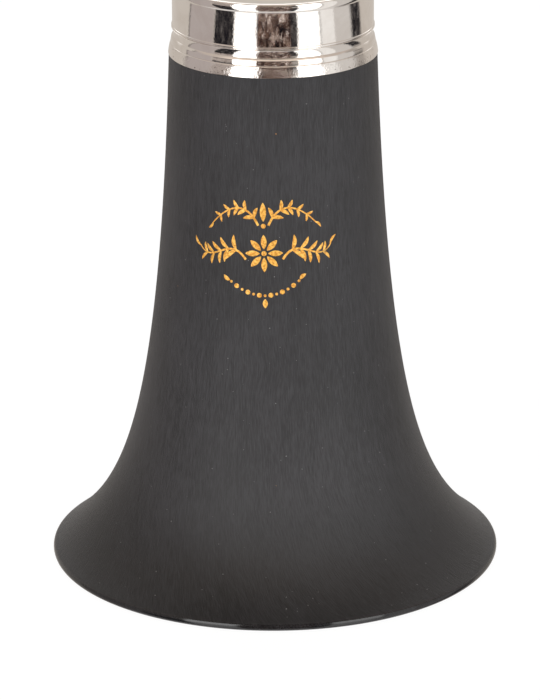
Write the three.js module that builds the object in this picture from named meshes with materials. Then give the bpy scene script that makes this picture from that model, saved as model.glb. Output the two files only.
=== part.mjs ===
// Bell of a B-flat clarinet: a flared resin bell with a nickel-plated ring pressed round its socket.
//
// Millimetres, +Z up along the bore. The origin is the centre of the mouth plane, so the bell
// stands on its rim with the socket at the top. Both pieces are turned shapes on the Z axis.

import * as THREE from 'three';

// ---- Overall sizes ----
const MOUTH_DIAMETER = 80.0;      // outside of the rim
const BELL_LENGTH = 105.0;        // mouth plane to the ring's top face

// ---- Socket that takes the lower joint's tenon ----
const SOCKET_DIAMETER = 26.0;
const SOCKET_DEPTH = 22.5;        // from the ring's top face to the shoulder that stops the tenon
const SOCKET_WALL = 3.2;          // resin left round the socket, inside the ring
const SOCKET_CHAMFER = 0.5;
const TENON_SHOULDER = 1.7;       // width of the step that stops the tenon; the bore starts inside it

// ---- Rim and bore ----
const RIM_WIDTH = 4.6;            // thickness of the resin at the mouth, outside edge to bore
const RIM_LAND = 1.2;             // height of the rounded edge at the mouth
const RIM_BELLY = 0.75;           // height of its fullest part, which it curves under from
const RIM_EDGE_IN = 0.12;         // how far in its top is from its fullest part
const RIM_INNER_ROUND = 1.0;

// ---- Flare: a wide curve up the whole bell, and a tight one close to the rim ----
const WIDE_SHARE = 0.6;           // part of the spread that the wide curve makes
const WIDE_REACH = 38.0;          // height in which the wide curve fades to 1/e
const LIP_REACH = 8.5;            // the same for the tight curve

// ---- Ring ----
const RING_HEIGHT = 12.7;
const RING_THICKNESS = 1.7;       // at the skirt
const RING_PROUD = 0.1;           // how far the skirt stands out past the resin below it
const RING_LIP = 1.2;             // thickness of the inward flange over the end of the resin
const RING_LIP_CLEARANCE = 0.4;   // how much wider than the socket the flange's hole is
const RING_FIT = 0.3;             // gap between the ring and the resin, all round

// ---- Ring mouldings: heights as they stand on each other, depths in from the skirt ----
const SKIRT_HEIGHT = 1.88;        // convex skirt that draws in to a waist
const SKIRT_TURN = 35;            // degrees through which the skirt's curve turns
const WAIST_DEPTH = 0.42;
const LINE_HEIGHT = 0.18;         // scribed line above the waist
const LINE_DEPTH = 0.11;
const PLAIN_BAND_HEIGHT = 0.80;   // plain band, as deep as the waist at its foot
const PLAIN_BAND_LEAN = 0.07;     // how far in its top is from its foot
const SHOULDER_HEIGHT = 0.41;     // bevel from the band in to the cove
const COVE_HEIGHT = 1.32;         // hollow moulding under the beads
const COVE_EDGE_DEPTH = 0.76;     // at the cove's two edges, and in the grooves between the beads
const COVE_HOLLOW = 0.18;         // how much deeper its middle is
const BEAD_HEIGHTS = [0.14, 0.44]; // two fine beads, from below
const BEAD_DEPTH = 0.60;
const TOP_BAND_DEPTH = 0.75;      // tall plain band
const CROWN_HEIGHT = 1.5;         // rounded bead at the top edge
const CROWN_DEPTH = 0.40;

// ---- Facets ----
const SIDES = 60;                 // round the axis; a multiple of four puts corners on X and Y
const FLARE_STEPS = 18;
const BORE_STEPS = 12;

// ---- Sizes that follow from those above ----
const mouthRadius = MOUTH_DIAMETER / 2;
const socketRadius = SOCKET_DIAMETER / 2;
const throatRadius = socketRadius - TENON_SHOULDER;
const seatRadius = socketRadius + SOCKET_WALL;
const ringBoreRadius = seatRadius + RING_FIT;
const skirtRadius = ringBoreRadius + RING_THICKNESS;
const neckRadius = skirtRadius - RING_PROUD;
const ringBottom = BELL_LENGTH - RING_HEIGHT;
const shoulderHeight = ringBottom - RING_FIT;
const resinTop = BELL_LENGTH - RING_LIP - RING_FIT;
const socketFloor = BELL_LENGTH - SOCKET_DEPTH;
const boreMouthRadius = mouthRadius - RIM_WIDTH;

// How far the flare has opened at a height: 1 at the mouth plane, fading upwards.
function flareShape(z) {
  const wide = WIDE_SHARE * Math.exp(-z / WIDE_REACH);
  const lip = (1 - WIDE_SHARE) * Math.exp(-z / LIP_REACH);
  return wide + lip;
}

// Radius at z of a flare that has lowRadius at lowZ and highRadius at highZ.
function flareRadius(z, lowZ, lowRadius, highZ, highRadius) {
  const opened = (flareShape(z) - flareShape(highZ)) / (flareShape(lowZ) - flareShape(highZ));
  return highRadius + (lowRadius - highRadius) * opened;
}

// Points up a flare, closer together near the mouth where it bends most.
function flarePoints(steps, lowZ, lowRadius, highZ, highRadius) {
  const points = [];
  for (let i = 0; i <= steps; i += 1) {
    const z = lowZ + (highZ - lowZ) * (i / steps) ** 2;
    points.push([flareRadius(z, lowZ, lowRadius, highZ, highRadius), z]);
  }
  return points;
}

// Points on an arc about [centreR, centreZ]; angles in degrees from the outward direction.
function arcPoints(centreR, centreZ, radiusR, radiusZ, fromDeg, toDeg, steps) {
  const points = [];
  for (let i = 0; i <= steps; i += 1) {
    const angle = THREE.MathUtils.degToRad(fromDeg + ((toDeg - fromDeg) * i) / steps);
    points.push([centreR + radiusR * Math.cos(angle), centreZ + radiusZ * Math.sin(angle)]);
  }
  return points;
}

// A closed outline of [radius, height] points, counter-clockwise, turned round the Z axis.
function turned(name, outline, material) {
  const profile = [...outline, outline[0]].map(([r, z]) => new THREE.Vector2(r, z));
  const geometry = new THREE.LatheGeometry(profile, SIDES);
  geometry.rotateX(Math.PI / 2);
  const mesh = new THREE.Mesh(geometry, material);
  mesh.name = name;
  return mesh;
}

// The resin bell: rim, outer flare, turned-down seat for the ring, socket, shoulder and bore.
function bellOutline() {
  const outerRound = arcPoints(mouthRadius - RIM_BELLY, RIM_BELLY, RIM_BELLY, RIM_BELLY, -90, 0, 4);
  const flare = flarePoints(
    FLARE_STEPS, RIM_LAND, mouthRadius - RIM_EDGE_IN, shoulderHeight, neckRadius);
  const seat = [
    [seatRadius, shoulderHeight],
    [seatRadius, resinTop - SOCKET_CHAMFER],
    [seatRadius - SOCKET_CHAMFER, resinTop],
  ];
  const socket = [
    [socketRadius + SOCKET_CHAMFER, resinTop],
    [socketRadius, resinTop - SOCKET_CHAMFER],
    [socketRadius, socketFloor],
  ];
  const bore = flarePoints(BORE_STEPS, RIM_INNER_ROUND, boreMouthRadius, socketFloor, throatRadius);
  const innerRound = arcPoints(
    boreMouthRadius + RIM_INNER_ROUND, RIM_INNER_ROUND, RIM_INNER_ROUND, RIM_INNER_ROUND, 180, 270, 3);
  return [...outerRound, ...flare, ...seat, ...socket, ...bore.reverse(), ...innerRound.slice(1)];
}

// The ring's outside, from its lower edge up, as the mouldings stand on each other.
function ringMouldings() {
  const waistRadius = skirtRadius - WAIST_DEPTH;
  const coveRadius = skirtRadius - COVE_EDGE_DEPTH;
  const topRadius = skirtRadius - TOP_BAND_DEPTH;
  const waistZ = ringBottom + SKIRT_HEIGHT;
  const bandZ = waistZ + LINE_HEIGHT;
  const shoulderZ = bandZ + PLAIN_BAND_HEIGHT;
  const coveZ = shoulderZ + SHOULDER_HEIGHT;
  const crownZ = BELL_LENGTH - CROWN_HEIGHT;

  const turn = THREE.MathUtils.degToRad(SKIRT_TURN);
  const skirtCurveR = WAIST_DEPTH / (1 - Math.cos(turn));
  const skirtCurveZ = SKIRT_HEIGHT / Math.sin(turn);
  const skirt = arcPoints(
    skirtRadius - skirtCurveR, ringBottom, skirtCurveR, skirtCurveZ, 0, SKIRT_TURN, 4);
  const line = [[waistRadius - LINE_DEPTH, waistZ + LINE_HEIGHT / 2], [waistRadius, bandZ]];
  const band = [[waistRadius - PLAIN_BAND_LEAN, shoulderZ]];
  const cove = arcPoints(coveRadius, coveZ + COVE_HEIGHT / 2, COVE_HOLLOW, COVE_HEIGHT / 2, 270, 90, 6);
  const bulge = COVE_EDGE_DEPTH - BEAD_DEPTH;
  let footZ = coveZ + COVE_HEIGHT;
  const beads = BEAD_HEIGHTS.flatMap((height) => {
    const bead = arcPoints(coveRadius, footZ + height / 2, bulge, height / 2, -90, 90, 4);
    footZ += height;
    return bead.slice(1);
  });
  const topBand = [[topRadius, crownZ]];
  const crown = arcPoints(
    topRadius, crownZ + CROWN_HEIGHT / 2, TOP_BAND_DEPTH - CROWN_DEPTH, CROWN_HEIGHT / 2, -60, 90, 4);
  return [...skirt, ...line, ...band, ...cove, ...beads, ...topBand, ...crown];
}

// The ring: mouldings outside, an inward flange at the top, and the bore that grips the resin.
function ringOutline() {
  const lipRadius = socketRadius + RING_LIP_CLEARANCE;
  return [
    ...ringMouldings(),
    [lipRadius, BELL_LENGTH],
    [lipRadius, BELL_LENGTH - RING_LIP],
    [ringBoreRadius, BELL_LENGTH - RING_LIP],
    [ringBoreRadius, ringBottom],
  ];
}

const blackResin = new THREE.MeshStandardMaterial({ color: 0x2b2b2c, roughness: 0.55, metalness: 0.0 });
const nickelPlate = new THREE.MeshStandardMaterial({ color: 0xcbc3b6, roughness: 0.14, metalness: 1.0 });

const group = new THREE.Group();
group.add(turned('bell_body', bellOutline(), blackResin));
group.add(turned('socket_ring', ringOutline(), nickelPlate));

export default group;
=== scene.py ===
import math

import bpy
import numpy as np
from mathutils import Matrix, Vector


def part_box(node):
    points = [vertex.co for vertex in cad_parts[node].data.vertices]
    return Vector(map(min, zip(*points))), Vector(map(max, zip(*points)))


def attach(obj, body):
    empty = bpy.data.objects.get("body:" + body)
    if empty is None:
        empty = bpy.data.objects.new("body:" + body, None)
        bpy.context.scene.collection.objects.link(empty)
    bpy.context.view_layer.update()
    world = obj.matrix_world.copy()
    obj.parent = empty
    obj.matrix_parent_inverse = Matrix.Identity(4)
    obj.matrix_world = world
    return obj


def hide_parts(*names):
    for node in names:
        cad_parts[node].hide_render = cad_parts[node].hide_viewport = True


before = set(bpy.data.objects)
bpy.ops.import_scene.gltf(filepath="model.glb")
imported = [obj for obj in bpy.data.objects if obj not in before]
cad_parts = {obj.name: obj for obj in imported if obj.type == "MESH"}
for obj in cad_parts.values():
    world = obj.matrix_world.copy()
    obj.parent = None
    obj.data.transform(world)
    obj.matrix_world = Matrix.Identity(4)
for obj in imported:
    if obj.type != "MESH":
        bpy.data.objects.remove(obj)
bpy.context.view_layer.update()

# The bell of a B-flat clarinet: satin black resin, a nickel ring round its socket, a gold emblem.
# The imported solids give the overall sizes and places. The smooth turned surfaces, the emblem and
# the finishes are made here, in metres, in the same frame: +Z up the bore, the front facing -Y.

MM = 0.001
FRONT = -math.pi / 2              # angle round the axis of the side that faces -Y

# ---- Sizes of the turned shapes that the solids' boxes don't give ----
RIM_LAND = 1.2 * MM               # height of the polished edge at the mouth
RIM_BELLY = 0.75 * MM             # height of its fullest part, which it curves under from
RIM_CROWN = 0.90 * MM             # radius of its upper curve
RIM_LEAN = 30.0                   # degrees that its top leans back by
RIM_EDGE_IN = 0.12 * MM           # how far in its top is from its fullest part
RIM_INNER_ROUND = 1.0 * MM
RIM_WIDTH = 4.6 * MM
WIDE_SHARE = 0.6
WIDE_REACH = 38.0 * MM
LIP_REACH = 8.5 * MM
SOCKET_RADIUS = 13.0 * MM
SOCKET_DEPTH = 22.5 * MM
SOCKET_WALL = 3.2 * MM
TENON_SHOULDER = 1.7 * MM
SOCKET_CHAMFER = 0.5 * MM
RING_FIT = 0.3 * MM
RING_PROUD = 0.1 * MM
RING_LIP = 1.2 * MM
RING_LIP_CLEARANCE = 0.4 * MM
HAIRLINE = 0.05 * MM              # the seam that shows between the ring and the resin
CORNER_EASE = 0.12 * MM           # how far the resin's turned corners are eased
TURNED_SIDES = 256                # faces round each turned piece

# ---- The ring's mouldings from its lower edge up: heights, then depths under the skirt ----
SKIRT_HEIGHT = 1.88 * MM
SCRIBED_LINE_HEIGHT = 0.18 * MM
PLAIN_BAND_HEIGHT = 0.80 * MM
SHOULDER_HEIGHT = 0.41 * MM
COVE_HEIGHT = 1.32 * MM
LOW_BEAD_HEIGHT = 0.14 * MM
HIGH_BEAD_HEIGHT = 0.44 * MM
CROWN_HEIGHT = 1.50 * MM
WAIST_DEPTH = 0.42 * MM           # where the skirt ends, at the scribed line
SCRIBED_LINE_DEPTH = 0.11 * MM    # below the waist
PLAIN_BAND_LEAN = 0.14 * MM       # how far the band has leaned in at its top
PLAIN_BAND_EDGE = 0.10 * MM       # height of the square edge at its top
COVE_FOOT_DEPTH = 0.89 * MM
COVE_TOP_DEPTH = 0.82 * MM
BEAD_DEPTH = 0.60 * MM
BEAD_BULGE = 0.16 * MM
TALL_BAND_DEPTH = 0.75 * MM
TALL_BAND_STEP = 0.05 * MM        # the tall band starts this far above the beads
CROWN_DEPTH = 0.40 * MM
SKIRT_LEANS = (7, 24)             # degrees that a face leans back at its foot and at its top
SHOULDER_LEANS = (36, 44)
COVE_LEANS = (14, -20)
RING_CORNER_EASE = 0.05 * MM
RING_BORE_PLAY = 0.05 * MM

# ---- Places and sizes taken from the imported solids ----
body_low, body_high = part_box("bell_body")
ring_low, ring_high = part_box("socket_ring")
mouth_radius = body_high.x
resin_top = body_high.z
ring_bottom = ring_low.z
bell_top = ring_high.z
skirt_radius = ring_high.x
neck_radius = skirt_radius - RING_PROUD
seat_radius = SOCKET_RADIUS + SOCKET_WALL
shoulder_height = ring_bottom - RING_FIT
socket_floor = bell_top - SOCKET_DEPTH
throat_radius = SOCKET_RADIUS - TENON_SHOULDER
bore_mouth_radius = mouth_radius - RIM_WIDTH
flare_foot = (mouth_radius - RIM_EDGE_IN, RIM_LAND)
flare_top = (neck_radius, shoulder_height)


# ==== Outlines, as arrays of [radius, height] ====

def flare_shape(z):
    """How far the flare is open at height z: two fading exponentials, one wide and one at the lip."""
    return WIDE_SHARE * np.exp(-z / WIDE_REACH) + (1 - WIDE_SHARE) * np.exp(-z / LIP_REACH)


def flare_radius(z, low, high):
    """Radius at z of a flare from low = (radius, height) up to high, eased by flare_shape."""
    opened = (flare_shape(z) - flare_shape(high[1])) / (flare_shape(low[1]) - flare_shape(high[1]))
    return high[0] + (low[0] - high[0]) * opened


def flare_outline(low, high, steps):
    """Points up a flare. Heights go as the square of the step, so they crowd at the mouth."""
    z = low[1] + (high[1] - low[1]) * np.linspace(0, 1, steps + 1) ** 2
    return np.column_stack([flare_radius(z, low, high), z])


def arc_outline(centre, radii, start, end, steps):
    """Points centre + (radii_r cos a, radii_z sin a) for a from start to end degrees."""
    a = np.radians(np.linspace(start, end, steps + 1))
    return np.column_stack([centre[0] + radii[0] * np.cos(a), centre[1] + radii[1] * np.sin(a)])


def leaning_curve(low, high, leans, steps):
    """A curve from low to high whose face leans back by leans[0] at its foot and leans[1] at its top.

    It is a cubic (Hermite) curve. Its end tangents are (-sin lean, cos lean) times the chord.
    """
    low, high = np.asarray(low, float), np.asarray(high, float)
    lean_low, lean_high = (math.radians(lean) for lean in leans)
    chord = np.linalg.norm(high - low)
    start = chord * np.array([-math.sin(lean_low), math.cos(lean_low)])
    end = chord * np.array([-math.sin(lean_high), math.cos(lean_high)])
    t = np.linspace(0, 1, steps + 1)[:, None]
    return ((2 * t ** 3 - 3 * t ** 2 + 1) * low + (t ** 3 - 2 * t ** 2 + t) * start
            + (3 * t ** 2 - 2 * t ** 3) * high + (t ** 3 - t ** 2) * end)


def eased_corners(corners, radius, steps=4):
    """Each corner of a closed outline becomes a quadratic curve from one side to the next.

    The curve starts and ends at most radius away, and at most 0.45 of a side's length.
    """
    most_of_side = 0.45
    corners = np.asarray(corners, float)
    before = np.roll(corners, 1, axis=0) - corners
    after = np.roll(corners, -1, axis=0) - corners
    reach_before = np.minimum(radius, most_of_side * np.linalg.norm(before, axis=1))
    reach_after = np.minimum(radius, most_of_side * np.linalg.norm(after, axis=1))
    start = corners + before * (reach_before / np.linalg.norm(before, axis=1))[:, None]
    end = corners + after * (reach_after / np.linalg.norm(after, axis=1))[:, None]
    t = np.linspace(0, 1, steps)[None, :, None]
    curve = (1 - t) ** 2 * start[:, None] + 2 * t * (1 - t) * corners[:, None] + t ** 2 * end[:, None]
    return curve.reshape(-1, 2)


# ==== Meshes ====

def new_mesh(name, points, faces, smooth_angle):
    """A mesh object from an array of points and a list or array of faces, shaded smooth."""
    mesh = bpy.data.meshes.new(name)
    mesh.from_pydata(points.tolist(), [], faces)
    mesh.polygons.foreach_set("use_smooth", np.ones(len(mesh.polygons), bool))
    mesh.set_sharp_from_angle(angle=math.radians(smooth_angle))
    mesh.update()
    piece = bpy.data.objects.new(name, mesh)
    bpy.context.scene.collection.objects.link(piece)
    return piece


def turned(name, outline, sides):
    """An outline turned round Z: point (i, j) is (r_i cos a_j, r_i sin a_j, z_i), closed both ways."""
    a = FRONT + np.linspace(0, 2 * math.pi, sides, endpoint=False)
    r, z = outline[:, :1], outline[:, 1:]
    grid = np.stack([r * np.cos(a), r * np.sin(a), np.broadcast_to(z, (len(r), sides))], axis=-1)
    i, j = np.meshgrid(np.arange(len(r)), np.arange(sides), indexing="ij")
    up, on = (i + 1) % len(r), (j + 1) % sides
    faces = np.stack([i * sides + j, i * sides + on, up * sides + on, up * sides + j], axis=-1)
    return new_mesh(name, grid.reshape(-1, 3), faces.reshape(-1, 4).tolist(), 35)


def bell_outline():
    """The resin: outside from the rim up to the ring's seat, then down the socket and the bore."""
    rim_under = arc_outline((mouth_radius - RIM_BELLY, RIM_BELLY), (RIM_BELLY,) * 2, -90, 0, 10)
    rim_over = arc_outline((mouth_radius - RIM_CROWN, RIM_BELLY), (RIM_CROWN,) * 2, 0, RIM_LEAN, 5)
    flare = flare_outline(flare_foot, flare_top, 90)
    seam = ring_bottom - HAIRLINE
    top = eased_corners([
        (neck_radius, shoulder_height), (neck_radius, seam), (seat_radius, seam),
        (seat_radius, resin_top - SOCKET_CHAMFER), (seat_radius - SOCKET_CHAMFER, resin_top),
        (SOCKET_RADIUS + SOCKET_CHAMFER, resin_top), (SOCKET_RADIUS, resin_top - SOCKET_CHAMFER),
        (SOCKET_RADIUS, socket_floor), (throat_radius + 0.1 * MM, socket_floor)], CORNER_EASE)
    bore = flare_outline((bore_mouth_radius, RIM_INNER_ROUND), (throat_radius, socket_floor), 60)
    inner_round = arc_outline(
        (bore_mouth_radius + RIM_INNER_ROUND, RIM_INNER_ROUND), (RIM_INNER_ROUND,) * 2, 180, 270, 6)
    points_a_corner = 4
    outside = np.concatenate([rim_under, rim_over[1:], flare, top[points_a_corner:2 * points_a_corner]])
    inside = np.concatenate([top[2 * points_a_corner:-points_a_corner], bore[::-1], inner_round[1:]])
    return np.concatenate([outside, inside]), len(outside)


def ring_outline():
    """The ring: skirt, scribed line, plain band, shoulder, cove, two beads, tall band, crown.

    Every height is added to the one below it. The inside is the flange and the bore.
    """
    heights = [
        SKIRT_HEIGHT, SCRIBED_LINE_HEIGHT, PLAIN_BAND_HEIGHT, SHOULDER_HEIGHT, COVE_HEIGHT,
        LOW_BEAD_HEIGHT, HIGH_BEAD_HEIGHT]
    foot, waist_z, band_foot, band_top, cove_foot, cove_top, between_beads, beads_top = (
        ring_bottom + np.cumsum([0] + heights))
    waist = skirt_radius - WAIST_DEPTH
    band_top_radius = waist - PLAIN_BAND_LEAN
    cove_foot_radius = skirt_radius - COVE_FOOT_DEPTH
    cove_top_radius = skirt_radius - COVE_TOP_DEPTH
    bead_centre = skirt_radius - BEAD_DEPTH - BEAD_BULGE
    tall_radius = skirt_radius - TALL_BAND_DEPTH
    tall_top = bell_top - CROWN_HEIGHT

    skirt = leaning_curve((skirt_radius, foot), (waist, waist_z), SKIRT_LEANS, 14)
    scribed = [(waist - SCRIBED_LINE_DEPTH, waist_z + SCRIBED_LINE_HEIGHT / 2), (waist, band_foot)]
    band_edge = [(band_top_radius, band_top - PLAIN_BAND_EDGE)]
    shoulder = leaning_curve(
        (band_top_radius, band_top), (cove_foot_radius, cove_foot), SHOULDER_LEANS, 8)
    cove = leaning_curve(
        (cove_foot_radius, cove_foot), (cove_top_radius, cove_top), COVE_LEANS, 12)[1:]
    beads = [
        arc_outline((bead_centre, (low + high) / 2), (BEAD_BULGE, (high - low) / 2), -75, 75, 8)
        for low, high in ((cove_top, between_beads), (between_beads, beads_top))]
    tall = [(tall_radius, beads_top + TALL_BAND_STEP), (tall_radius, tall_top)]
    crown = arc_outline(
        (tall_radius, bell_top - CROWN_HEIGHT / 2),
        (TALL_BAND_DEPTH - CROWN_DEPTH, CROWN_HEIGHT / 2), -60, 90, 14)
    lip = SOCKET_RADIUS + RING_LIP_CLEARANCE
    bore = seat_radius + RING_BORE_PLAY
    inside = [
        (lip, bell_top), (lip, bell_top - RING_LIP), (bore, bell_top - RING_LIP), (bore, ring_bottom)]
    corners = np.concatenate([skirt, scribed, band_edge, shoulder, cove, *beads, tall, crown, inside])
    return eased_corners(corners, RING_CORNER_EASE, 3)


# ==== The emblem: filled strokes that lie on the bell ====

EMBLEM_HEIGHT = 61.6 * MM         # height of its centre above the mouth
EMBLEM_TURN = math.radians(-5.0)  # how far round from the front it was stamped
EMBLEM_TILT = math.radians(1.6)
STROKE = 0.21 * MM                # half the width of a fine stroke
LIFT = 0.035 * MM                 # how far the filling stands above the resin


def on_bell(across, up, lift):
    """Emblem coordinates to the bell: across is an arc length round it, up is a height on it."""
    c, s = math.cos(EMBLEM_TILT), math.sin(EMBLEM_TILT)
    x, y = across * c - up * s, across * s + up * c
    z = EMBLEM_HEIGHT + y
    r = flare_radius(z, flare_foot, flare_top)
    centre = flare_radius(EMBLEM_HEIGHT, flare_foot, flare_top)
    a = FRONT + EMBLEM_TURN + x / centre
    return np.stack([(r + lift) * np.cos(a), (r + lift) * np.sin(a), z], axis=-1)


def stroke(across, up, half_width, round_steps=10):
    """A filled stroke: an ellipse, half_width by LIFT, carried along the line (across, up).

    Point (i, j) is the line's point i moved half_width_i cos b_j along its normal, and lifted
    LIFT sin b_j off the bell. The ends close with a face each.
    """
    line = np.column_stack([across, up])
    along = np.gradient(line, axis=0)
    along /= np.linalg.norm(along, axis=1)[:, None]
    normal = np.column_stack([-along[:, 1], along[:, 0]])
    b = np.linspace(0, 2 * math.pi, round_steps, endpoint=False)
    side = half_width[:, None] * np.cos(b)
    grown = np.minimum(1, half_width / STROKE)[:, None] * np.sin(b) * LIFT
    points = on_bell(
        line[:, :1] + normal[:, :1] * side, line[:, 1:] + normal[:, 1:] * side, grown)
    n = len(line)
    i, j = np.meshgrid(np.arange(n - 1), np.arange(round_steps), indexing="ij")
    on = (j + 1) % round_steps
    first, last = i * round_steps, (i + 1) * round_steps
    faces = np.stack([first + j, last + j, last + on, first + on], axis=-1).reshape(-1, 4).tolist()
    faces.append(list(range(round_steps)))
    faces.append(list(range(n * round_steps - 1, (n - 1) * round_steps - 1, -1)))
    return points.reshape(-1, 3), faces


def tapered(steps, width, blunt=0.5, tip=0.12):
    """Half widths that swell from a thin tip to width and back: sin(pi t) to the power blunt."""
    t = np.linspace(0, 1, steps)
    return width * np.maximum(np.sin(math.pi * t) ** blunt, tip)


def leaf(root, angle, length, width, bend=0.12, steps=22):
    """An almond leaf from root at an angle: its midline bends by a half sine, its width tapers."""
    t = np.linspace(0, 1, steps)
    x, y = t * length, bend * length * np.sin(math.pi * t)
    c, s = math.cos(angle), math.sin(angle)
    return stroke(root[0] + x * c - y * s, root[1] + x * s + y * c, tapered(steps, width, 0.75, 0.04))


def dot(centre, radius, steps=14):
    """A round dot: a short stroke whose half width is that of a circle, cut just short of its ends."""
    nearly_all = 0.985
    t = np.linspace(-nearly_all, nearly_all, steps)
    return stroke(centre[0] + t * radius, np.full(steps, centre[1]), radius * np.sqrt(1 - t ** 2))


def curve_points(ends, steps=40):
    """A cubic curve through four control points (Bernstein form)."""
    p = np.asarray(ends, float) * MM
    t = np.linspace(0, 1, steps)[:, None]
    return ((1 - t) ** 3 * p[0] + 3 * t * (1 - t) ** 2 * p[1]
            + 3 * t ** 2 * (1 - t) * p[2] + t ** 3 * p[3])


def sprig(ends, leaves, leaf_length, leaf_width, spread, from_share=0.12):
    """A stem along a cubic curve, with pairs of leaves that get smaller towards its tip.

    The stem thins to thin_tip of its width, and leaf number n is 1 - shrink * share of full size,
    where share is how far along the stem it grows.
    """
    thin_tip, shrink = 0.45, 0.45
    line = curve_points(ends)
    strokes = [stroke(line[:, 0], line[:, 1], np.linspace(1.0, thin_tip, len(line)) * STROKE)]
    for n in range(leaves):
        share = from_share + (1 - from_share) * n / leaves
        k = int(share * (len(line) - 2))
        heading = math.atan2(*(line[k + 1] - line[k])[::-1])
        size = 1 - shrink * share
        for side in (1, -1):
            strokes.append(leaf(
                line[k], heading + side * spread, leaf_length * size, leaf_width * size, -0.1 * side))
    heading = math.atan2(*(line[-1] - line[-3])[::-1])
    strokes.append(leaf(line[-2], heading, leaf_length * 0.7, leaf_width * 0.6))
    return strokes


def mirrored(ends):
    """The same control points on the other side of the emblem's centre line."""
    return [(-x, y) for x, y in ends]


def emblem_piece(name, strokes, material):
    """Many strokes joined in one mesh."""
    points, faces, start = [], [], 0
    for p, f in strokes:
        points.append(p)
        faces.extend([[v + start for v in face] for face in f])
        start += len(p)
    piece = new_mesh(name, np.concatenate(points), faces, 50)
    piece.data.materials.append(material)
    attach(piece, "root")


def rosette(centre, petals, length, width):
    """Petals round a centre dot."""
    dot_radius, petal_root = 0.45 * MM, 0.75 * MM
    strokes = [dot(centre, dot_radius)]
    for n in range(petals):
        a = 2 * math.pi * n / petals + math.pi / 2
        root = (centre[0] + petal_root * math.cos(a), centre[1] + petal_root * math.sin(a))
        strokes.append(leaf(root, a, length, width, 0.0))
    return strokes


def make_emblem(gold):
    """A rosette between two leafy sprigs, an arched spray above it and a dotted swag below.

    The swag's dots hang on a parabola: swag_dip lower in the middle than at its ends. Curves and
    the swag's line are in millimetres from the emblem's centre.
    """
    side_sprig = [(3.2, -1.0), (6.2, 3.6), (9.4, -3.0), (12.0, 0.8)]
    garland = rosette((0, 0.1 * MM), 8, 2.5 * MM, 0.50 * MM)
    for ends in (side_sprig, mirrored(side_sprig)):
        garland += sprig(ends, 5, 3.0 * MM, 0.40 * MM, math.radians(60), 0.2)
    emblem_piece("emblem_garland", garland, gold)

    top_sprig = [(0.9, 5.0), (3.0, 9.7), (6.6, 8.2), (9.5, 4.8)]
    spray = [dot((0, 4.9 * MM), 0.42 * MM), leaf((0, 5.7 * MM), math.pi / 2, 3.3 * MM, 0.55 * MM, 0.0)]
    for ends in (top_sprig, mirrored(top_sprig)):
        spray += sprig(ends, 5, 2.1 * MM, 0.36 * MM, math.radians(55))
    emblem_piece("emblem_spray", spray, gold)

    swag_reach, swag_low, swag_dip = 5.8, -7.3, 2.3
    swag = []
    for n, x in enumerate(np.linspace(-swag_reach, swag_reach, 13)):
        y = swag_low + swag_dip * (x / swag_reach) ** 2
        swag.append(dot((x * MM, y * MM), (0.42 if n % 2 else 0.24) * MM))
    for side in (1, -1):
        swag.append(leaf((side * 6.0 * MM, -4.8 * MM), math.pi / 2 - side * 0.9, 1.4 * MM, 0.34 * MM))
    swag.append(leaf((0, -7.9 * MM), -math.pi / 2, 1.6 * MM, 0.42 * MM, 0.0))
    emblem_piece("emblem_swag", swag, gold)


# ==== Finishes ====

RESIN_DARK = (0.0090, 0.0088, 0.0100, 1)
RESIN_PALE = (0.0310, 0.0305, 0.0340, 1)
RESIN_PAINTED_SHADE = (0.0040, 0.0040, 0.0045, 1)      # painted shade: what the foot of the flare tends to
RESIN_DUST = (0.24, 0.24, 0.24, 1)
ORANGE_FLECK = (0.50, 0.24, 0.07, 1)
MOULDED_DARK = (0.011, 0.011, 0.012, 1)
MOULDED_PALE = (0.022, 0.021, 0.022, 1)
MOULDED_DUST = (0.16, 0.15, 0.14, 1)
NICKEL_CLEAN = (0.83, 0.795, 0.76, 1)
NICKEL_HAZY = (0.76, 0.715, 0.675, 1)
NICKEL_PIT = (0.16, 0.12, 0.09, 1)
GOLD_DEEP = (0.64, 0.27, 0.025, 1)
GOLD_BRIGHT = (1.0, 0.57, 0.12, 1)
GOLD_WORN = (0.10, 0.07, 0.035, 1)
RESIN_IOR = 1.5
POLISHED_ROUGHNESS = 0.10
BRUSHED_ANISOTROPY = 0.62
STREAK_RELIEF = 0.12 * MM                     # how deep each bump would be at full height
MOULDED_RELIEF = 0.05 * MM
NICKEL_RELIEF = 0.06 * MM
GOLD_RELIEF = 0.04 * MM


def socket(group, name, kind, direction, value=None):
    """A named input or output of a shader node group."""
    made = group.interface.new_socket(name=name, in_out=direction, socket_type=kind)
    if value is not None:
        made.default_value = value
    return made


def node(tree, kind, inputs=None, **settings):
    """A shader node with its settings and its unlinked or linked inputs."""
    made = tree.nodes.new(kind)
    for key, value in settings.items():
        setattr(made, key, value)
    for key, value in (inputs or {}).items():
        if isinstance(value, bpy.types.NodeSocket):
            tree.links.new(value, made.inputs[key])
        else:
            made.inputs[key].default_value = value
    return made


def maths(tree, operation, a, b=0.0, clamp=False):
    """One Math node's result."""
    return node(tree, "ShaderNodeMath", {0: a, 1: b}, operation=operation, use_clamp=clamp).outputs[0]


def ramp(tree, value, low, high, to_low=0.0, to_high=1.0):
    """A smooth step of value from low..high to to_low..to_high."""
    made = node(tree, "ShaderNodeMapRange", {
        "Value": value, "From Min": low, "From Max": high, "To Min": to_low, "To Max": to_high},
        interpolation_type="SMOOTHSTEP")
    return made.outputs["Result"]


def mix_colour(tree, share, a, b):
    """a where share is 0 and b where it is 1."""
    made = node(tree, "ShaderNodeMix", {"Factor": share, "A": a, "B": b}, data_type="RGBA")
    return made.outputs["Result"]


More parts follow.
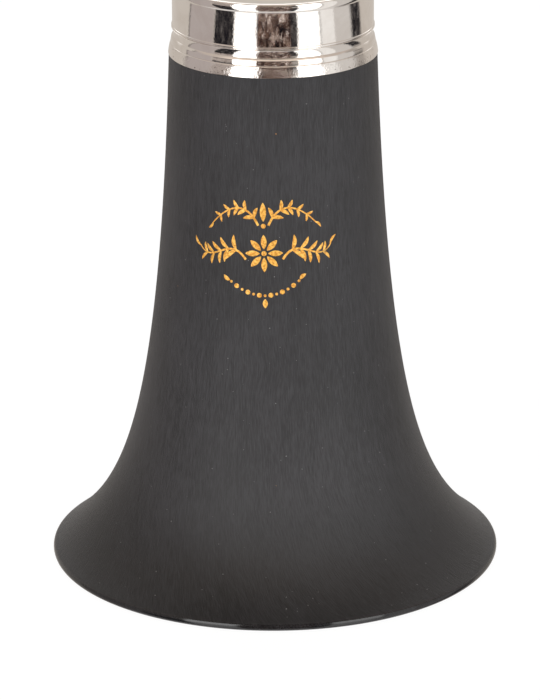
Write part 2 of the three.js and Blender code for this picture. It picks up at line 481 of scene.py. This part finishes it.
def noise_fac(tree, place, scale, detail, roughness=0.5, distortion=0.0):
    """The value of a Noise node at a place."""
    return node(tree, "ShaderNodeTexNoise", {
        "Vector": place, "Scale": scale, "Detail": detail, "Roughness": roughness,
        "Distortion": distortion}).outputs["Fac"]


def weighted(tree, *parts):
    """The sum of value times weight over (value, weight) pairs."""
    total = maths(tree, "MULTIPLY", *parts[0])
    for value, weight in parts[1:]:
        total = maths(tree, "ADD", total, maths(tree, "MULTIPLY", value, weight))
    return total


def meridian_grain_group():
    """Fine streaks that run up the bell, and sweep round to one side as they fan out on the flare.

    The pattern's place is (x / r, y / r) times Around, and (z - r) times Along, so a streak
    keeps its angle round the axis from the neck to the lip. Below the height where z - r is
    sweep_start it turns by Sweep times the square of what is missing. Wander makes it waver.
    """
    sweep_start = 9 * MM
    group = bpy.data.node_groups.new("meridian_grain", "ShaderNodeTree")
    socket(group, "Around", "NodeSocketFloat", "INPUT", 60.0)
    socket(group, "Along", "NodeSocketFloat", "INPUT", 60.0)
    socket(group, "Sweep", "NodeSocketFloat", "INPUT", 0.0)
    socket(group, "Wander", "NodeSocketFloat", "INPUT", 0.0)
    socket(group, "Fineness", "NodeSocketFloat", "INPUT", 3.0)
    socket(group, "Streak", "NodeSocketFloat", "OUTPUT")
    given = node(group, "NodeGroupInput").outputs
    place = node(group, "ShaderNodeTexCoord").outputs["Object"]
    parts = node(group, "ShaderNodeSeparateXYZ", {"Vector": place}).outputs
    angle = maths(group, "ARCTAN2", parts["Y"], parts["X"])
    radius = node(group, "ShaderNodeVectorMath", {
        0: node(group, "ShaderNodeCombineXYZ", {"X": parts["X"], "Y": parts["Y"]}).outputs[0]},
        operation="LENGTH").outputs["Value"]
    run = maths(group, "SUBTRACT", parts["Z"], radius)
    missing = maths(group, "MAXIMUM", maths(group, "SUBTRACT", sweep_start, run), 0.0)
    swept = maths(group, "MULTIPLY", maths(group, "MULTIPLY", missing, missing), given["Sweep"])
    waver = noise_fac(group, place, 90.0, 1.0)
    wandered = maths(group, "MULTIPLY", waver, given["Wander"])
    leaned = maths(group, "ADD", maths(group, "SUBTRACT", angle, swept), wandered)
    spot = node(group, "ShaderNodeCombineXYZ", {
        "X": maths(group, "MULTIPLY", maths(group, "COSINE", leaned), given["Around"]),
        "Y": maths(group, "MULTIPLY", maths(group, "SINE", leaned), given["Around"]),
        "Z": maths(group, "MULTIPLY", run, given["Along"])}).outputs[0]
    noise = node(group, "ShaderNodeTexNoise", {
        "Vector": spot, "Scale": 1.0, "Detail": given["Fineness"], "Roughness": 0.62})
    node(group, "NodeGroupOutput", {"Streak": noise.outputs["Fac"]})
    return group


def speck_group():
    """Sparse specks: a mask that is 1 inside a few of the cells' round centres."""
    group = bpy.data.node_groups.new("specks", "ShaderNodeTree")
    socket(group, "Cells per metre", "NodeSocketFloat", "INPUT", 400.0)
    socket(group, "Size", "NodeSocketFloat", "INPUT", 0.05)
    socket(group, "Share", "NodeSocketFloat", "INPUT", 0.3)
    socket(group, "Mask", "NodeSocketFloat", "OUTPUT")
    given = node(group, "NodeGroupInput").outputs
    place = node(group, "ShaderNodeTexCoord").outputs["Object"]
    cells = node(group, "ShaderNodeTexVoronoi", {
        "Vector": place, "Scale": given["Cells per metre"], "Randomness": 1.0})
    picked = node(group, "ShaderNodeSeparateColor", {"Color": cells.outputs["Color"]}).outputs
    small = maths(group, "MULTIPLY", given["Size"], maths(group, "ADD", picked[1], 0.35))
    inside = maths(group, "LESS_THAN", cells.outputs["Distance"], small)
    chosen = maths(group, "LESS_THAN", picked[0], given["Share"])
    node(group, "NodeGroupOutput", {"Mask": maths(group, "MULTIPLY", inside, chosen)})
    return group


def use_group(tree, group, **values):
    """One placing of a node group. Underscores in the names stand for spaces."""
    made = tree.nodes.new("ShaderNodeGroup")
    made.node_tree = group
    for key, value in values.items():
        made.inputs[key.replace("_", " ")].default_value = value
    return made.outputs


def new_material(name):
    """An empty material with its Principled shader and the tree to build in."""
    material = bpy.data.materials.new(name)
    material.use_nodes = True
    tree = material.node_tree
    tree.nodes.clear()
    shader = tree.nodes.new("ShaderNodeBsdfPrincipled")
    node(tree, "ShaderNodeOutputMaterial", {"Surface": shader.outputs[0]})
    return material, tree, shader


def relief(tree, shader, height, strength, distance):
    """Bump from a height, on the shader's normal."""
    bump = node(tree, "ShaderNodeBump", {"Height": height, "Strength": strength, "Distance": distance})
    tree.links.new(bump.outputs["Normal"], shader.inputs["Normal"])


def brushed_resin(grain, specks):
    """Black resin rubbed down along the bell, with a polished edge at the rim and a little dust.

    The tone is 0.75 of the streaks and 0.25 of a soft cloud, and 0.18 of the leaning scratches on
    the low part of the flare. It sets the base colour, from dark to pale, and the roughness. The
    foot of the flare is painted deeper black, as painted shade. A film of dust (sheen) pales the
    resin at a glancing angle.
    """
    material, tree, shader = new_material("resin_brushed")
    fine = use_group(tree, grain, Around=140.0, Along=420.0, Sweep=105.0, Wander=0.06, Fineness=3.0)
    coarse = use_group(tree, grain, Around=20.0, Along=80.0, Sweep=105.0, Wander=0.06, Fineness=2.0)
    leaning = use_group(tree, grain, Around=90.0, Along=170.0, Sweep=240.0, Wander=0.1, Fineness=3.0)
    place = node(tree, "ShaderNodeTexCoord").outputs["Object"]
    height = node(tree, "ShaderNodeSeparateXYZ", {"Vector": place}).outputs["Z"]
    cloud = noise_fac(tree, place, 45.0, 3.0)

    low_part = ramp(tree, height, 4 * MM, 22 * MM, 1.0, 0.0)
    streak = weighted(tree, (fine["Streak"], 0.8), (coarse["Streak"], 0.2))
    scratched = maths(tree, "MULTIPLY", ramp(tree, leaning["Streak"], 0.60, 0.74), low_part)
    tone = weighted(tree, (streak, 0.75), (cloud, 0.25), (scratched, 0.18))
    colour = mix_colour(tree, ramp(tree, tone, 0.38, 0.62), RESIN_DARK, RESIN_PALE)
    # painted shade: the base colour is darkened towards the foot of the flare
    painted_shade_at_foot = ramp(tree, height, 6 * MM, 24 * MM, 0.55, 0.0)
    colour = mix_colour(tree, painted_shade_at_foot, colour, RESIN_PAINTED_SHADE)
    dust = use_group(tree, specks, Cells_per_metre=1100.0, Size=0.08, Share=0.20)["Mask"]
    colour = mix_colour(tree, maths(tree, "MULTIPLY", dust, 0.7), colour, RESIN_DUST)
    flecks = use_group(tree, specks, Cells_per_metre=230.0, Size=0.024, Share=0.16)["Mask"]
    colour = mix_colour(tree, maths(tree, "MULTIPLY", flecks, 0.8), colour, ORANGE_FLECK)
    tree.links.new(colour, shader.inputs["Base Color"])

    polished = ramp(tree, height, RIM_LAND * 0.9, RIM_LAND * 1.25, 1.0, 0.0)
    brushed = maths(tree, "SUBTRACT", 1.0, polished)
    satin = ramp(tree, tone, 0.30, 0.70, 0.45, 0.53)
    rough = node(tree, "ShaderNodeMix", {"Factor": polished, "A": satin, "B": POLISHED_ROUGHNESS})
    tree.links.new(rough.outputs["Result"], shader.inputs["Roughness"])
    relief(tree, shader, maths(tree, "MULTIPLY", streak, brushed), 0.85, STREAK_RELIEF)
    uneven = maths(tree, "MULTIPLY", brushed, BRUSHED_ANISOTROPY)
    tree.links.new(uneven, shader.inputs["Anisotropic"])
    around = node(tree, "ShaderNodeTangent", direction_type="RADIAL", axis="Z").outputs[0]
    tree.links.new(around, shader.inputs["Tangent"])
    shader.inputs["IOR"].default_value = RESIN_IOR
    film = maths(tree, "MULTIPLY", brushed, ramp(tree, height, 6 * MM, 50 * MM, 0.12, 0.03))
    tree.links.new(film, shader.inputs["Sheen Weight"])
    shader.inputs["Sheen Roughness"].default_value = 0.25
    return material


def moulded_resin(specks):
    """The inside: as it left the mould, smooth, with faint rings from the core and some dust.

    The tone is 0.35 of the rings and 0.65 of a soft cloud. It sets colour, roughness and bump.
    """
    material, tree, shader = new_material("resin_moulded")
    place = node(tree, "ShaderNodeTexCoord").outputs["Object"]
    height = node(tree, "ShaderNodeSeparateXYZ", {"Vector": place}).outputs["Z"]
    flat = node(tree, "ShaderNodeCombineXYZ", {"Z": maths(tree, "MULTIPLY", height, 2600.0)}).outputs[0]
    rings = noise_fac(tree, flat, 1.0, 2.0)
    cloud = noise_fac(tree, place, 60.0, 4.0)
    tone = weighted(tree, (rings, 0.35), (cloud, 0.65))
    colour = mix_colour(tree, ramp(tree, tone, 0.35, 0.65), MOULDED_DARK, MOULDED_PALE)
    dust = use_group(tree, specks, Cells_per_metre=260.0, Size=0.05, Share=0.12)["Mask"]
    colour = mix_colour(tree, maths(tree, "MULTIPLY", dust, 0.4), colour, MOULDED_DUST)
    tree.links.new(colour, shader.inputs["Base Color"])
    tree.links.new(ramp(tree, tone, 0.35, 0.65, 0.24, 0.36), shader.inputs["Roughness"])
    relief(tree, shader, tone, 0.25, MOULDED_RELIEF)
    return material


def polished_nickel(specks):
    """Nickel plate with a warm cast: faint turning lines, handling haze and a few dark pits.

    The haze yellows and dulls it. The skirt, where hands hold it, is also fingered and pitted
    wherever the smear is strong. The bump is 0.17 of the haze, 0.03 of the turning lines, and
    the plate's fine peel, 0.12 of it on the mouldings and 0.55 on the skirt.
    """
    material, tree, shader = new_material("nickel_plate")
    place = node(tree, "ShaderNodeTexCoord").outputs["Object"]
    height = node(tree, "ShaderNodeSeparateXYZ", {"Vector": place}).outputs["Z"]
    flat = node(tree, "ShaderNodeCombineXYZ", {"Z": maths(tree, "MULTIPLY", height, 9000.0)}).outputs[0]
    lines = noise_fac(tree, flat, 1.0, 2.0)
    haze = noise_fac(tree, place, 160.0, 5.0, 0.6, 0.6)
    smear = noise_fac(tree, place, 420.0, 4.0)
    peel = noise_fac(tree, place, 2300.0, 3.0, 0.6)
    skirt = ramp(tree, height, ring_bottom + 0.9 * MM, ring_bottom + 2.4 * MM, 1.0, 0.0)

    pits = use_group(tree, specks, Cells_per_metre=900.0, Size=0.10, Share=0.07)["Mask"]
    pinholes = use_group(tree, specks, Cells_per_metre=2600.0, Size=0.30, Share=0.7)["Mask"]
    handled = maths(tree, "MULTIPLY", skirt, ramp(tree, smear, 0.46, 0.58))
    pinholes = maths(tree, "MULTIPLY", pinholes, handled)
    spots = maths(
        tree, "MAXIMUM", maths(tree, "MULTIPLY", pits, 0.7), maths(tree, "MULTIPLY", pinholes, 0.75))
    colour = mix_colour(tree, ramp(tree, haze, 0.35, 0.70), NICKEL_CLEAN, NICKEL_HAZY)
    colour = mix_colour(tree, spots, colour, NICKEL_PIT)
    tree.links.new(colour, shader.inputs["Base Color"])
    shader.inputs["Metallic"].default_value = 1.0

    fingered = maths(tree, "MULTIPLY", skirt, ramp(tree, smear, 0.42, 0.64, 0.0, 0.10))
    rough = maths(tree, "ADD", ramp(tree, haze, 0.40, 0.75, 0.008, 0.035), fingered)
    rough = maths(tree, "ADD", rough, maths(tree, "MULTIPLY", lines, 0.008))
    tree.links.new(rough, shader.inputs["Roughness"])
    peel_share = ramp(tree, skirt, 0.0, 1.0, 0.12, 0.55)
    wave = weighted(tree, (haze, 0.17), (lines, 0.03), (peel, peel_share))
    relief(tree, shader, wave, 1.0, NICKEL_RELIEF)
    return material


def gold_paint():
    """Gold paint wiped into the engraving: grainy, with deeper grains, and worn on one side."""
    material, tree, shader = new_material("gold_fill")
    place = node(tree, "ShaderNodeTexCoord").outputs["Object"]
    grain = noise_fac(tree, place, 2600.0, 4.0)
    patch = noise_fac(tree, place, 500.0, 3.0)
    colour = mix_colour(tree, ramp(tree, grain, 0.35, 0.65), GOLD_DEEP, GOLD_BRIGHT)
    across = node(tree, "ShaderNodeSeparateXYZ", {"Vector": place}).outputs["X"]
    worn_side = ramp(tree, across, 7.2 * MM, 9.8 * MM)
    worn = maths(tree, "MULTIPLY", worn_side, ramp(tree, patch, 0.45, 0.58))
    colour = mix_colour(tree, maths(tree, "MULTIPLY", worn, 0.7), colour, GOLD_WORN)
    tree.links.new(colour, shader.inputs["Base Color"])
    tree.links.new(ramp(tree, grain, 0.3, 0.7, 0.52, 0.36), shader.inputs["Roughness"])
    shader.inputs["Metallic"].default_value = 0.2
    relief(tree, shader, grain, 0.5, GOLD_RELIEF)
    return material


# ==== The object ====

def dress_bell(outside, inside):
    """The smooth resin bell in place of its faceted solid."""
    outline, outside_count = bell_outline()
    bell = turned("bell_shell", outline, TURNED_SIDES)
    bell.data.materials.append(outside)
    bell.data.materials.append(inside)
    is_inside = (np.arange(len(outline)) >= outside_count).astype(np.int32)
    index = np.repeat(is_inside, TURNED_SIDES)
    bell.data.polygons.foreach_set("material_index", index)
    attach(bell, "root")
    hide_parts("bell_body")


def dress_ring(nickel):
    """The ring with its fine mouldings in place of its faceted solid."""
    ring = turned("ring_turned", ring_outline(), TURNED_SIDES)
    ring.data.materials.append(nickel)
    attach(ring, "root")
    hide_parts("socket_ring")


# ==== The studio ====
# The tent's colours are light, so some are brighter than 1.

ROOM_BLACK = (0.008, 0.008, 0.012, 1)
FRONT_ROOM_BROWN, FRONT_ROOM_LIGHT = (0.28, 0.15, 0.10, 1), (1.9, 1.8, 1.7, 1)
LEFT_ROOM_BROWN, LEFT_ROOM_LIGHT = (0.32, 0.26, 0.23, 1), (0.50, 0.44, 0.41, 1)
DARK_SIDE_BROWN, DARK_SIDE_LIGHT = (0.085, 0.075, 0.072, 1), (0.26, 0.245, 0.24, 1)
LAMP_DIM, LAMP_HOT = (1.7, 1.68, 1.66, 1), (3.9, 3.88, 3.85, 1)
WEAKER_LAMP_DIM, WEAKER_LAMP_HOT = (1.6, 1.58, 1.56, 1), (3.1, 3.08, 3.05, 1)
TENT_CLOTH = (0.64, 0.59, 0.54, 1)
LEFT_CLOTH = (0.49, 0.437, 0.423, 1)
RIGHT_CLOTH_BRIGHT = (1.00, 0.985, 0.965, 1)
RIGHT_CLOTH = (0.70, 0.67, 0.645, 1)
ROOF_SIDE_LOW, ROOF_SIDE_HIGH = (0.61, 0.53, 0.475, 1), (0.08, 0.075, 0.07, 1)
ROOF_FRONT_LOW, ROOF_FRONT_HIGH = (1.05, 0.90, 0.78, 1), (0.10, 0.09, 0.08, 1)
ROOF_BACK = (0.62, 0.60, 0.58, 1)
BACK_LAMP = (2.9, 2.9, 2.9, 1)
TABLE_LIGHT = (0.90, 0.88, 0.87, 1)           # what comes up from below
BACKDROP = (1.02, 1.02, 1.02, 1)              # what the camera sees in place of the tent


def make_floor():
    """A wide pale floor that glows a little, so only the faintest shadow shows on it."""
    half_width, gap_under_rim = 6.0, 0.05 * MM
    corners = half_width * np.array([(-1, -1, 0), (1, -1, 0), (1, 1, 0), (-1, 1, 0)], float)
    corners[:, 2] = body_low.z - gap_under_rim
    floor = new_mesh("studio_floor", corners, [[0, 1, 2, 3]], 30)
    material = bpy.data.materials.new("studio_floor")
    material.use_nodes = True
    tree = material.node_tree
    tree.nodes.clear()
    matt = node(tree, "ShaderNodeBsdfDiffuse", {"Color": (0.9, 0.9, 0.9, 1)}).outputs[0]
    glow = node(tree, "ShaderNodeEmission", {"Color": (1, 1, 1, 1), "Strength": 1.04}).outputs[0]
    both = node(tree, "ShaderNodeMixShader", {0: 0.92, 1: matt, 2: glow}).outputs[0]
    node(tree, "ShaderNodeOutputMaterial", {"Surface": both})
    floor.data.materials.append(material)
    floor.visible_glossy = False


def strip(tree, bearing, low, high, soft=1.2):
    """1 where the bearing in degrees is between low and high, with soft edges."""
    rise = ramp(tree, bearing, low - soft, low + soft)
    fall = ramp(tree, bearing, high - soft, high + soft, 1.0, 0.0)
    return maths(tree, "MULTIPLY", rise, fall)


def room_through_slit(tree, toward, dark_share, brown, light):
    """What shows through a slit in the tent: a cluttered room, blotched with dark and light.

    The clutter is 0.55 of large blotches and 0.45 of grit. It is black below dark_share, then
    brown, and light a little above that.
    """
    flattened = node(
        tree, "ShaderNodeVectorMath", {0: toward, 1: (1.0, 1.0, 0.8)}, operation="MULTIPLY").outputs[0]
    blotch = noise_fac(tree, flattened, 19.0, 8.0, 0.75, 0.3)
    grit = noise_fac(tree, toward, 44.0, 5.0, 0.8)
    clutter = weighted(tree, (blotch, 0.55), (grit, 0.45))
    is_brown = ramp(tree, clutter, dark_share - 0.02, dark_share + 0.005)
    is_light = ramp(tree, clutter, dark_share + 0.035, dark_share + 0.055)
    return mix_colour(tree, is_light, mix_colour(tree, is_brown, ROOM_BLACK, brown), light)


def make_surroundings():
    """A light tent: bright panels to the sides of a slit, the room through the slit, a warm roof.

    Bearings are degrees round from the front, to the right, and rises are degrees up. The roof
    starts 38 to 44 degrees up at the front, and 8 degrees lower at the back. Two lamps hang
    behind, between 12 and 56 degrees up.
    """
    world = bpy.data.worlds.new("light_tent")
    bpy.context.scene.world = world
    world.use_nodes = True
    tree = world.node_tree
    tree.nodes.clear()
    toward = node(tree, "ShaderNodeTexCoord").outputs["Generated"]
    parts = node(tree, "ShaderNodeSeparateXYZ", {"Vector": toward}).outputs
    degrees = 180 / math.pi
    frontward = maths(tree, "MULTIPLY", parts["Y"], -1.0)
    bearing = maths(tree, "MULTIPLY", maths(tree, "ARCTAN2", parts["X"], frontward), degrees)
    rise = maths(tree, "MULTIPLY", maths(tree, "ARCSINE", parts["Z"]), degrees)

    front_room = room_through_slit(tree, toward, 0.515, FRONT_ROOM_BROWN, FRONT_ROOM_LIGHT)
    left_room = room_through_slit(tree, toward, 0.43, LEFT_ROOM_BROWN, LEFT_ROOM_LIGHT)
    dark_side = room_through_slit(tree, toward, 0.52, DARK_SIDE_BROWN, DARK_SIDE_LIGHT)
    left_view = mix_colour(tree, ramp(tree, rise, -8.0, -3.0, 1.0, 0.0), left_room, dark_side)
    hot = maths(tree, "MULTIPLY", ramp(tree, rise, -15, 2), ramp(tree, rise, 30, 44, 1.0, 0.6))
    lamp = mix_colour(tree, hot, LAMP_DIM, LAMP_HOT)
    weaker_lamp = mix_colour(tree, hot, WEAKER_LAMP_DIM, WEAKER_LAMP_HOT)

    # Panels and openings, in the order they overlap: from bearing, to bearing, what is there.
    colour = TENT_CLOTH
    panels = [
        (-111, -72, LEFT_CLOTH),
        (-46, -19, lamp),
        (28, 55, weaker_lamp),
        (55, 76, RIGHT_CLOTH_BRIGHT),
        (75, 103, RIGHT_CLOTH),
        (-71, -46, left_view),
        (-19, 21, front_room),
    ]
    for low, high, tint in panels:
        colour = mix_colour(tree, strip(tree, bearing, low, high), colour, tint)

    # Gaps between panels: from bearing, to bearing, softness, how dark (some vary with the rise).
    fading = ramp(tree, rise, -14, -4, 1.0, 0.35)
    narrow = maths(tree, "ADD", ramp(tree, rise, -9, -2, 1.0, 0.35), ramp(tree, rise, 6, 12, 0.0, 0.6))
    gaps = [
        (-112.5, -110, 0.8, 0.6),
        (55.5, 57, 0.6, 0.5),
        (101, 119, 3.0, fading),
        (20, 28, 1.2, narrow),
    ]
    for low, high, soft, depth in gaps:
        gap = maths(tree, "MULTIPLY", strip(tree, bearing, low, high, soft), depth)
        colour = mix_colour(tree, gap, colour, dark_side)

    roof_side = mix_colour(tree, ramp(tree, rise, 56, 74), ROOF_SIDE_LOW, ROOF_SIDE_HIGH)
    roof_front = mix_colour(tree, ramp(tree, rise, 54, 72), ROOF_FRONT_LOW, ROOF_FRONT_HIGH)
    roof = mix_colour(tree, ramp(tree, frontward, 0.05, 0.40), roof_side, roof_front)
    roof = mix_colour(tree, ramp(tree, frontward, -0.60, -0.30, 1.0, 0.0), roof, ROOF_BACK)
    lower_behind = ramp(tree, frontward, -0.70, 0.55, -8.0, 0.0)
    is_roof = ramp(tree, maths(tree, "SUBTRACT", rise, lower_behind), 38, 44)
    colour = mix_colour(tree, is_roof, colour, roof)
    behind = ramp(tree, maths(tree, "ABSOLUTE", bearing), 130, 155)
    high_up = maths(tree, "MULTIPLY", ramp(tree, rise, 12, 24), ramp(tree, rise, 44, 56, 1.0, 0.0))
    colour = mix_colour(tree, maths(tree, "MULTIPLY", behind, high_up), colour, BACK_LAMP)
    colour = mix_colour(tree, ramp(tree, rise, -56, -44, 1.0, 0.0), colour, TABLE_LIGHT)

    seen = node(tree, "ShaderNodeLightPath").outputs["Is Camera Ray"]
    plain = mix_colour(tree, seen, colour, BACKDROP)
    back = node(tree, "ShaderNodeBackground", {"Color": plain, "Strength": 1.0}).outputs[0]
    node(tree, "ShaderNodeOutputWorld", {"Surface": back})


def make_camera():
    """The camera: in front, a little above the bell and looking down on it, rolled a hair."""
    back, height, aside = 0.6710, 0.2744, -0.00077
    pitch, roll = math.radians(19.466), math.radians(-0.257)
    picture_height = 36.0             # millimetres of sensor from top to bottom
    focal_in_pictures = 4000 / 700    # focal length, in heights of the picture
    far_limit = 50.0
    right = Vector((1, 0, 0))
    up = Vector((0, math.sin(pitch), math.cos(pitch)))
    behind = Vector((0, -math.cos(pitch), math.sin(pitch)))
    rolled_right = right * math.cos(roll) + up * math.sin(roll)
    rolled_up = up * math.cos(roll) - right * math.sin(roll)
    camera = bpy.data.objects.new("camera", bpy.data.cameras.new("camera"))
    camera.data.sensor_width = picture_height
    camera.data.lens = picture_height * focal_in_pictures
    camera.data.clip_end = far_limit
    axes = Matrix((rolled_right, rolled_up, behind)).transposed().to_4x4()
    camera.matrix_world = Matrix.Translation((aside, -back, height)) @ axes
    bpy.context.scene.collection.objects.link(camera)
    bpy.context.scene.camera = camera


def main():
    """Camera and studio first, then finishes, then the pieces that wear them."""
    make_camera()
    make_floor()
    make_surroundings()
    bpy.context.scene.view_settings.view_transform = "Standard"
    grain = meridian_grain_group()
    specks = speck_group()
    dress_bell(brushed_resin(grain, specks), moulded_resin(specks))
    dress_ring(polished_nickel(specks))
    make_emblem(gold_paint())


main()
